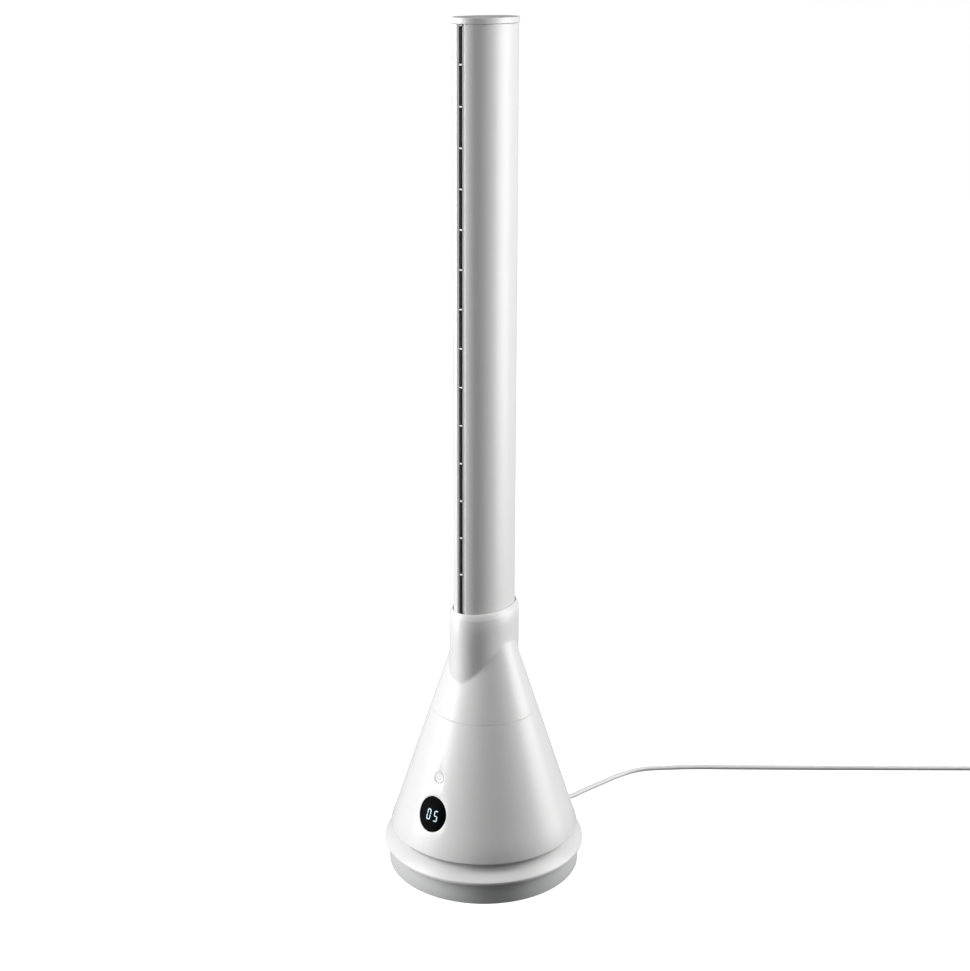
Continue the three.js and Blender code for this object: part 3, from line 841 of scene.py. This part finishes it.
def make_upper_cone():
    """The upper shell: it runs up the cone, blends into the oval collar and comes back down inside."""
    apex, taper, wall = CONE["apex"], CONE["taper"], CONE["wall"]
    low = CONE["seam"] + GAP
    soft = 2.6
    mouth = 0.4
    spigot_low, spigot_high, spigot_top, spigot_wall = 185.3, 192, 197, 2.2
    lip_wide, lip_drop = COLLAR["chamfer_in"], COLLAR["chamfer_down"]

    def collar(angle, inset=0.0):
        return oval_radius(angle, COLLAR["front"] - inset, COLLAR["side"] - inset)

    def bore(angle, inset=0.0):
        return oval_radius(angle, COLLAR["bore_front"] + inset, COLLAR["bore_side"] + inset)

    def fixed(radius, height):
        return lambda angle: (radius, height)

    def meeting(angle):
        return apex - collar(angle) / taper

    def up_cone(share):
        def row(angle):
            height = low + 0.25 + (meeting(angle) - soft - low - 0.25) * share
            return cone_radius(height), height
        return row

    def fillet(share):
        def row(angle):
            start = (cone_radius(meeting(angle) - soft), meeting(angle) - soft)
            corner = (collar(angle), meeting(angle))
            end = (collar(angle), meeting(angle) + soft)
            weights = ((1 - share) ** 2, 2 * share * (1 - share), share ** 2)
            return tuple(sum(w * p[i] for w, p in zip(weights, (start, corner, end))) for i in (0, 1))
        return row

    def up_collar(share):
        def row(angle):
            start = meeting(angle) + soft
            return collar(angle), start + (COLLAR["top"] - lip_drop - start) * share
        return row

    def lip(share):
        """The chamfer round the collar's mouth, from its lower edge to its upper one."""
        inset, drop = lip_wide * share, lip_drop * (1 - share)
        return lambda angle: (collar(angle, inset), COLLAR["top"] - drop)

    def bore_edge(size, degrees):
        turn = math.radians(degrees)
        widen, drop = size * (1 - math.sin(turn)), size * (1 - math.cos(turn))
        return lambda angle: (bore(angle, widen), COLLAR["top"] - drop)

    def down_bore(share):
        def row(angle):
            end = apex - (bore(angle) + wall) / taper
            start = COLLAR["top"] - mouth
            return bore(angle), start + (end - start) * share
        return row

    def inside(height):
        return cone_radius(height) - wall

    def under_cone(share):
        def row(angle):
            start = apex - (bore(angle) + wall) / taper
            height = start + (spigot_top - start) * share
            return inside(height), height
        return row

    rows = [fixed(cone_radius(low) - 0.25, low)]
    rows += [up_cone(i / 8) for i in range(9)]
    rows += [fillet(i / 6) for i in range(1, 7)]
    rows += [up_collar(i / 3) for i in range(1, 4)]
    rows += [lip(share) for share in (0.03, 0.5, 0.93)]
    rows += [bore_edge(mouth, degrees) for degrees in (0, 45, 90)]
    rows += [down_bore(share) for share in (0.5, 1)]
    rows += [under_cone(share) for share in (0.5, 1)]
    rows += [
        fixed(inside(spigot_top) - spigot_wall, spigot_top),
        fixed(inside(spigot_low) - spigot_wall, spigot_low),
        fixed(inside(spigot_low) - GAP, spigot_low),
        fixed(inside(spigot_high) - GAP, spigot_high),
        fixed(inside(low) - GAP, low),
    ]
    cone = guided("cone_shoulder", rows, CONE_SIDES)
    finish_piece(cone, "head", "white_gloss")
    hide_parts("upper_cone")


# ---------------------------------------------------------------- controls


def press_on_cone(piece, height):
    """Bends a flat piece, drawn with +Y up the slope and +Z outwards, on to the front of the cone."""
    for vertex in piece.data.vertices:
        across, along, out = vertex.co / MM
        level = height + along * math.cos(CONE_LEAN)
        radius = cone_radius(level)
        back = -math.sqrt(radius * radius - across * across)
        side_lean = math.cos(CONE_LEAN) / radius
        normal = Vector((across * side_lean, back * side_lean, math.sin(CONE_LEAN)))
        vertex.co = (Vector((across, back, level)) + normal * out) * MM
    piece.data.update()


def make_display():
    """An oval lens: rings inset towards the middle, given thickness, with its front edge rounded."""
    sides, rings, thick, edge = 128, 9, 2.0, 0.35
    half_width, half_height = DISPLAY["half_width"], DISPLAY["half_height"]
    lens = circle("display_lens", sides, half_width, 0, fill="NGON")
    for _ in range(rings):
        bpy.ops.mesh.inset(thickness=half_width * MM / (rings + 0.6), depth=0)
    bpy.ops.mesh.poke()
    bpy.ops.mesh.select_all(action="SELECT")
    bpy.ops.transform.resize(value=(1, half_height / half_width, 1), center_override=(0, 0, 0))
    tidy_up()
    leave()
    modify(lens, "SOLIDIFY", thickness=thick * MM, offset=-1)
    edit(lens)
    tidy_up()
    pick("EDGE", lambda e: sharp(e) and middle_of(e).z > -0.01)
    bevel(edge, 3)
    bpy.ops.mesh.select_all(action="SELECT")
    bpy.ops.transform.translate(value=(0, 0, -SUNK * MM))
    leave()
    press_on_cone(lens, DISPLAY["height"])
    smooth(lens, 40)
    finish_piece(lens, "head", "black_window")
    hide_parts("display_window")


def make_bar(name, length, width):
    """One bar of a digit, pointed at both ends, flat on the panel."""
    half = length / 2
    bar = flat_shape(name, [
        (-half + width / 2, -width / 2), (half - width / 2, -width / 2), (half, 0),
        (half - width / 2, width / 2), (-half + width / 2, width / 2), (-half, 0),
    ], 0)
    tidy_up()
    leave()
    modify(bar, "SOLIDIFY", thickness=0.08 * MM, offset=1)
    return bar


def make_digits():
    """The lit figures 0 and 5 in seven-bar style, on the face of the lens."""
    stroke, air = DIGIT["stroke"], DIGIT["air"]
    width = DIGIT["width"] - stroke
    tall = DIGIT["height"] - stroke
    right, down = 0.5, 1.1
    flat = make_bar("flat_bar", width - air, stroke)
    upright = make_bar("upright_bar", tall / 2 - air, stroke)
    # Every bar is placed by its middle in half widths and half heights.
    places = {
        "top": (flat, 0, 1), "bottom": (flat, 0, -1), "middle": (flat, 0, 0),
        "top_left": (upright, -1, 0.5), "top_right": (upright, 1, 0.5),
        "bottom_left": (upright, -1, -0.5), "bottom_right": (upright, 1, -0.5),
    }
    figures = [
        ["top", "bottom", "top_left", "top_right", "bottom_left", "bottom_right"],
        ["top", "middle", "bottom", "top_left", "bottom_right"],
    ]
    bars = []
    for number, names in enumerate(figures):
        shift = (number - 0.5) * DIGIT["pitch"]
        for name in names:
            source, across, along = places[name]
            x, y = across * width / 2, along * tall / 2
            bar = again(source, f"bar_{number}_{name}")
            turn = turn_by(90 if source is upright else 0, "Z")
            slant = DIGIT["slant"] * y
            place(bar, move_by(shift + x + slant + right, y - down, -SUNK) @ turn)
            bars.append(bar)
    for source in (flat, upright):
        bpy.data.objects.remove(source)
    digits = together("lit_digits", bars)
    press_on_cone(digits, DISPLAY["height"])
    edit(digits)
    tidy_up()
    leave()
    finish_piece(digits, "head", "lit_digit")


def make_button():
    """A round key with a raised rim and a shallow dish."""
    radius = BUTTON["radius"]
    key = circle("key_face", 72, radius, 0, fill="NGON")
    bpy.ops.mesh.inset(thickness=BUTTON["rim"] * MM, depth=0)
    bpy.ops.mesh.inset(thickness=BUTTON["step"] * MM, depth=-BUTTON["dish"] * MM)
    for _ in range(4):
        bpy.ops.mesh.inset(thickness=radius * 0.16 * MM, depth=0)
    bpy.ops.mesh.poke()
    tidy_up()
    leave()
    modify(key, "SOLIDIFY", thickness=2.4 * MM, offset=-1)
    edit(key)
    tidy_up()
    pick("EDGE", lambda e: sharp(e) and middle_of(e).z > -0.05 and middle_of(e).xy.length > radius - 0.1)
    bevel(0.25, 3)
    leave()
    press_on_cone(key, BUTTON["height"])
    stem = turned("stem", [
        (0, -6.9), (1.8, -6.9), (2.2, -6.5), (2.2, -4.4), (7, -4.4), (7, -3.1), (2.2, -3.1),
        (2.2, -2.5), (0, -2.5),
    ], SMALL_SIDES)
    place(stem, on_panel(BUTTON["height"]))
    key = together("power_key", [key, stem])
    smooth(key, 35)
    finish_piece(key, "button", "white_gloss")
    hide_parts("power_button")


def ribbon(name, radius, width, opening=0.0):
    """A flat ring, with a gap at its top if an opening is given in degrees."""
    piece = circle(name, 72, radius + width / 2, 0)
    if opening:
        pick("VERT", lambda v: abs(math.degrees(math.atan2(v.co.x, v.co.y))) < opening / 2)
        bpy.ops.mesh.delete(type="VERT")
        bpy.ops.mesh.select_mode(type="EDGE")
        bpy.ops.mesh.select_all(action="SELECT")
    scale = (radius - width / 2) / (radius + width / 2)
    bpy.ops.mesh.extrude_region_move(TRANSFORM_OT_translate={"value": (0, 0, 0)})
    bpy.ops.transform.resize(value=(scale, scale, 1), center_override=(0, 0, 0))
    tidy_up()
    leave()
    return piece


def make_power_mark():
    """The usual on-off sign, its bar a slim diamond, printed in grey inside a printed ring."""
    rim = ribbon("rim", radius=5.55, width=0.75)
    arc = ribbon("arc", radius=2.55, width=0.55, opening=80)
    bar = circle("bar", 4, 0.4, 0, fill="NGON")
    bpy.ops.transform.resize(value=(0.75, 3.2, 1), center_override=(0, 0, 0))
    bpy.ops.mesh.inset(thickness=0.08 * MM, depth=0)
    bpy.ops.transform.translate(value=(0, 2.0 * MM, 0))
    leave()
    place(bar, move_by(0, 2.2, 0))
    for piece in (arc, bar):
        place(piece, move_by(0, 0, -BUTTON["dish"]))
    mark = together("power_mark", [rim, arc, bar])
    modify(mark, "SOLIDIFY", thickness=0.04 * MM, offset=1)
    press_on_cone(mark, BUTTON["height"])
    edit(mark)
    tidy_up()
    leave()
    finish_piece(mark, "button", "printed_grey")


# ---------------------------------------------------------------- column


def make_column():
    """The oval tube: a ring drawn upwards, with the strip over the slot taken out and walls added."""
    squeeze = TUBE["side"] / TUBE["front"]
    levels = [SLOT["bottom"], 420, 540, 660, 780, 880, TUBE["top"]]
    tube = circle("air_column", COLUMN_SIDES, TUBE["front"], TUBE["bottom"])
    height = TUBE["bottom"]
    for level in levels:
        draw_out(1, height, 1, level)
        height = level
    bpy.ops.mesh.select_all(action="SELECT")
    bpy.ops.transform.resize(value=(squeeze, 1, 1), center_override=(0, 0, 0))
    bpy.ops.mesh.normals_make_consistent(inside=False)

    def over_slot(face):
        spot = middle_of(face)
        return abs(spot.x) < SLOT["half"] and spot.y < 0 and spot.z > SLOT["bottom"]

    pick("FACE", over_slot)
    bpy.ops.mesh.delete(type="FACE")
    leave()
    modify(tube, "SOLIDIFY", thickness=TUBE["wall"] * MM, offset=-1, use_even_offset=True)
    edit(tube)
    tidy_up()

    def slot_edge(e):
        spot = middle_of(e)
        upright = abs(e.verts[0].co.z - e.verts[1].co.z) > 0.01
        return upright and sharp(e) and spot.y < NOZZLE["face"] and abs(spot.x) < SLOT["half"] + 0.6

    pick("EDGE", slot_edge)
    bevel(SLOT["edge_round"], 5)

    def inner(face):
        spot = middle_of(face)
        flat = abs(face.normal.z) < 0.5
        return flat and face.normal.x * spot.x + face.normal.y * spot.y < -1

    # The tube's inner faces get painted shade, a dark grey for the shade inside the column.
    pick("FACE", inner)
    tube.data.materials.append(FINISHES["white_gloss"])
    repaint(tube, "duct_painted_shade")
    smooth(tube, 30)
    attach(tube, "head")
    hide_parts("column_shell")


def make_slot_frame():
    """A thin cheek on the left, a broad sunk tongue on the right, and ribs that tie them."""
    half, face, tongue, back = (NOZZLE[key] for key in ("half", "face", "tongue", "back"))
    left, right, rib_right = NOZZLE["slit_left"], NOZZLE["slit_right"], NOZZLE["rib_right"]
    step = half - NOZZLE["cheek"]
    rib_face = face + NOZZLE["rib_inset"]
    low, top = SLOT["bottom"] + GAP, TUBE["top"]
    outlines = {
        "cheek": [(left, back), (-half, back), (-half, face), (left, face)],
        "tongue": [
            (right, back), (right, tongue + 0.6), (right + 0.18, tongue + 0.18), (right + 0.6, tongue),
            (step, tongue), (step, face), (half, face), (half, back),
        ],
    }
    bars = []
    for name, outline in outlines.items():
        bar = prism(name, in_order(outline), low, top)
        leave()
        # The cheek and tongue get painted shade, a dark grey for the shade in the slot's recess.
        paint(bar, "slot_painted_shade")
        bars.append(bar)
    rib_outline = in_order([
        (left, back), (left, rib_face), (rib_right, rib_face), (rib_right, tongue), (right, tongue),
        (right, back),
    ])
    rib = prism("rib", rib_outline, -SLOT["rib_height"] / 2, SLOT["rib_height"] / 2)
    pick("EDGE", lambda e: sharp(e) and middle_of(e).y < rib_face + 0.05)
    bevel(0.3, 2)
    leave()
    paint(rib, "white_satin")
    for i in range(SLOT["ribs"]):
        each = again(rib, f"rib_{i + 1}")
        place(each, move_by(0, 0, SLOT["first_rib"] - i * SLOT["pitch"]))
        bars.append(each)
    for name, start, end in (("low_end", low, low + 6), ("top_end", top - 2, top)):
        end_piece = prism(name, rib_outline, start, end)
        leave()
        # The slot's ends get the same painted shade.
        paint(end_piece, "slot_painted_shade")
        bars.append(end_piece)
    bpy.data.objects.remove(rib)
    slot_frame = together("slot_frame", bars)
    edit(slot_frame)

    def deep(face_part):
        return middle_of(face_part).y > tongue + 0.3

    # The faces at the back of the slot get painted shade, a dark grey for the shade deep in the slit.
    pick("FACE", deep)
    repaint(slot_frame, "duct_painted_shade")
    smooth(slot_frame, 30)
    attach(slot_frame, "head")
    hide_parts("slot_nozzle")


def in_order(outline):
    """The outline with its corners listed anticlockwise."""
    area = sum(a[0] * b[1] - b[0] * a[1] for a, b in zip(outline, outline[1:] + outline[:1]))
    return outline if area > 0 else outline[::-1]


def make_cap():
    """The column's lid with a stopper that plugs into the tube."""
    squeeze = CAP["side"] / CAP["front"]
    edge, chamfer = 0.9, 0.5
    stopper_end = CAP["base"] - CAP["stopper_length"]
    outline = [
        (0, stopper_end), (CAP["stopper"], stopper_end), (CAP["stopper"], CAP["base"]),
        (CAP["front"] - chamfer, CAP["base"]), (CAP["front"], CAP["base"] + chamfer),
        *rounded(CAP["front"] - edge, HEIGHT - edge, edge, 0, 90, 6),
        (CAP["front"] * 0.6, HEIGHT), (CAP["front"] * 0.2, HEIGHT), (0, HEIGHT),
    ]
    cap = turned("column_lid", outline, COLUMN_SIDES, squeeze)
    finish_piece(cap, "head", "white_gloss")
    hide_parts("top_cap")


# ---------------------------------------------------------------- strain relief and plug


def make_strain_relief():
    """A flanged boot with soft grooves, tapering along the lead."""
    grooves, pitch, depth, length = 6, 3.3, 0.55, 29.5
    outline = [(0, 0), (6.5, 0), (6.5, 2), (4.6, 2.3), (4.6, 6.0), (5.8, 6.4), (5.7, 8.2)]
    for i in range(grooves):
        start = 8.6 + i * pitch
        radius = 5.55 - i * 0.24
        outline += [
            (radius - depth, start + 0.25), (radius - depth, start + 1.1),
            (radius - 0.03, start + 1.4), (radius - 0.2, start + 3.05),
        ]
    outline += [(4.15, 28.9), (3.7, length), (0, length)]
    boot = turned("lead_boot", outline, SMALL_SIDES)
    place(boot, Matrix.Translation((0, LEAD_EXIT[1] - length * MM, LEAD_EXIT[2])) @ turn_by(-90, "X"))
    finish_piece(boot, "foot", "white_lead")
    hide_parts("strain_relief")
    return boot


def plug_place():
    start = COIL_MIDDLE + TRAVEL * COIL_RADIUS + SIDE * PLUG_START
    turn = Matrix.Rotation(math.atan2(SIDE.y, SIDE.x), 4, "Z")
    return Matrix.Translation((start.x, start.y, 0)) @ turn


def make_plug():
    """A flat two-pin plug that lies on the floor, with a grooved neck round the lead."""
    length, width, height, relief = PLUG["length"], PLUG["width"], PLUG["height"], PLUG["relief"]
    off_floor = 0.1
    mid = height / 2 + off_floor
    half = width / 2
    body = prism("plug_shell", in_order([
        (relief - 3, -5), (relief + 4, -9), (relief + 16, -half), (relief + length, -half),
        (relief + length, half), (relief + 16, half), (relief + 4, 9), (relief - 3, 5),
    ]), mid - height / 2, mid + height / 2)
    pick("EDGE", lambda e: sharp(e, 20))
    bevel(2.4, 4)
    leave()
    outline = [(0, 0), (3.7, 0), (4.1, 0.5)]
    grooves, pitch, depth = 4, 3.6, 0.5
    for i in range(grooves):
        start = 3 + i * pitch
        radius = 4.25 + i * 0.25
        outline += [
            (radius, start), (radius - depth, start + 0.3),
            (radius - depth, start + 1.1), (radius + 0.1, start + 1.4),
        ]
    outline += [(5.4, relief - 1), (5.4, relief + 2), (0, relief + 2)]
    neck = turned("neck", outline, SMALL_SIDES)
    place(neck, move_by(0, 0, mid) @ turn_by(90, "Y"))
    modify(body, "BOOLEAN", operation="UNION", solver="EXACT", object=neck)
    bpy.data.objects.remove(neck)
    body.name = body.data.name = "plug_shell"
    place(body, plug_place())
    smooth(body, 35)
    finish_piece(body, "foot", "white_lead")
    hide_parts("plug_body")
    pins = []
    thick, sleeve, tip = PLUG["pin"], PLUG["pin_sleeve"], PLUG["pin_length"]
    for number, side in ((1, -1), (2, 1)):
        pin = turned(f"pin_{number}", [
            (0, -PLUG["pin_root"]), (sleeve, -PLUG["pin_root"]), (sleeve, 9.5), (thick, 10),
            *rounded(thick / 2, tip - thick / 2, thick / 2, 0, 90, 5), (0, tip),
        ], 32)
        root = move_by(relief + length, side * PLUG["pin_pitch"] / 2, mid)
        place(pin, plug_place() @ root @ turn_by(90, "Y"))
        finish_piece(pin, "foot", "steel")
        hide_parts(f"plug_pin_{number}")
        pins.append(pin)
    return [body, *pins]


make_foot()
make_rubber_pads()
make_turntable()
make_lower_cone()
make_upper_cone()
make_display()
make_digits()
make_button()
make_power_mark()
make_column()
make_slot_frame()
make_cap()
lead_pieces = [make_strain_relief(), *make_plug()]


# ---------------------------------------------------------------- studio


def make_floor():
    """A plain floor of glowing white paper that throws no light on the fan and isn't mirrored in it."""
    bpy.ops.object.select_all(action="DESELECT")
    bpy.ops.mesh.primitive_plane_add(size=60, location=(0, 0, 0))
    floor = bpy.context.object
    floor.name = "studio_floor"
    paper = Finish(
        "studio_paper", Roughness=0.9, Specular_IOR_Level=0.1,
        Emission_Color=shade(1, 1, 1), Emission_Strength=1.0,
    )
    grain = paper.noise(3, 2)
    paper.color(paper.mix(grain, shade(0.86, 0.86, 0.86), shade(0.88, 0.88, 0.88)))
    floor.data.materials.append(paper.material)
    floor.visible_diffuse = False
    floor.visible_glossy = False


def make_bounce():
    """A weak, unseen glow just above the floor, in place of the light that pale paper throws back."""
    lift = 0.0003
    bpy.ops.object.select_all(action="DESELECT")
    bpy.ops.mesh.primitive_circle_add(vertices=64, radius=1.4, location=(0, 0, lift), fill_type="NGON")
    card = bpy.context.object
    card.name = "bounce_card"
    glow = Finish(
        "bounce_glow", Base_Color=shade(0, 0, 0), Specular_IOR_Level=0.0,
        Emission_Color=shade(1, 1, 1), Emission_Strength=0.08,
    )
    card.data.materials.append(glow.material)
    card.visible_camera = False
    card.visible_glossy = False
    card.visible_shadow = False


def make_light(name, spot, target, width, height, watts):
    data = bpy.data.lights.new(name, "AREA")
    data.shape = "RECTANGLE"
    data.size = width
    data.size_y = height
    data.energy = watts
    light = bpy.data.objects.new(name, data)
    light.location = spot
    aim = Vector(target) - Vector(spot)
    light.rotation_euler = aim.to_track_quat("-Z", "Y").to_euler()
    bpy.context.scene.collection.objects.link(light)


def around(azimuth, distance, height):
    """A spot by its bearing from the camera's side, anticlockwise seen from above, in degrees."""
    angle = math.radians(CAMERA_TURN["azimuth"] + azimuth)
    return (distance * math.sin(angle), -distance * math.cos(angle), height)


def make_world():
    """Nearly black for lighting, and white where the camera looks past the floor."""
    world = bpy.data.worlds.new("studio")
    world.use_nodes = True
    bpy.context.scene.world = world
    tree = world.node_tree
    dim = tree.nodes["Background"]
    dim.inputs["Color"].default_value = shade(0.98, 0.99, 1.0)
    dim.inputs["Strength"].default_value = 0.012
    backdrop = tree.nodes.new("ShaderNodeBackground")
    backdrop.inputs["Color"].default_value = shade(1, 1, 1)
    backdrop.inputs["Strength"].default_value = 1.0
    path = tree.nodes.new("ShaderNodeLightPath")
    choose = tree.nodes.new("ShaderNodeMixShader")
    tree.links.new(path.outputs["Is Camera Ray"], choose.inputs["Fac"])
    tree.links.new(dim.outputs[0], choose.inputs[1])
    tree.links.new(backdrop.outputs[0], choose.inputs[2])
    tree.links.new(choose.outputs[0], tree.nodes["World Output"].inputs["Surface"])


bpy.context.scene.view_settings.view_transform = "Standard"
make_floor()
make_bounce()
make_world()
make_light(
    "left_softbox", around(azimuth=-78, distance=1.5, height=0.7), target=(0, 0, 0.5),
    width=0.9, height=2.2, watts=45,
)
make_light(
    "right_softbox", around(azimuth=92, distance=1.5, height=0.75), target=(0, 0, 0.5),
    width=0.9, height=2.2, watts=38,
)
make_light("top_softbox", (0, 0.3, 2.4), target=(0, 0, 0.4), width=1.6, height=1.6, watts=6.5)
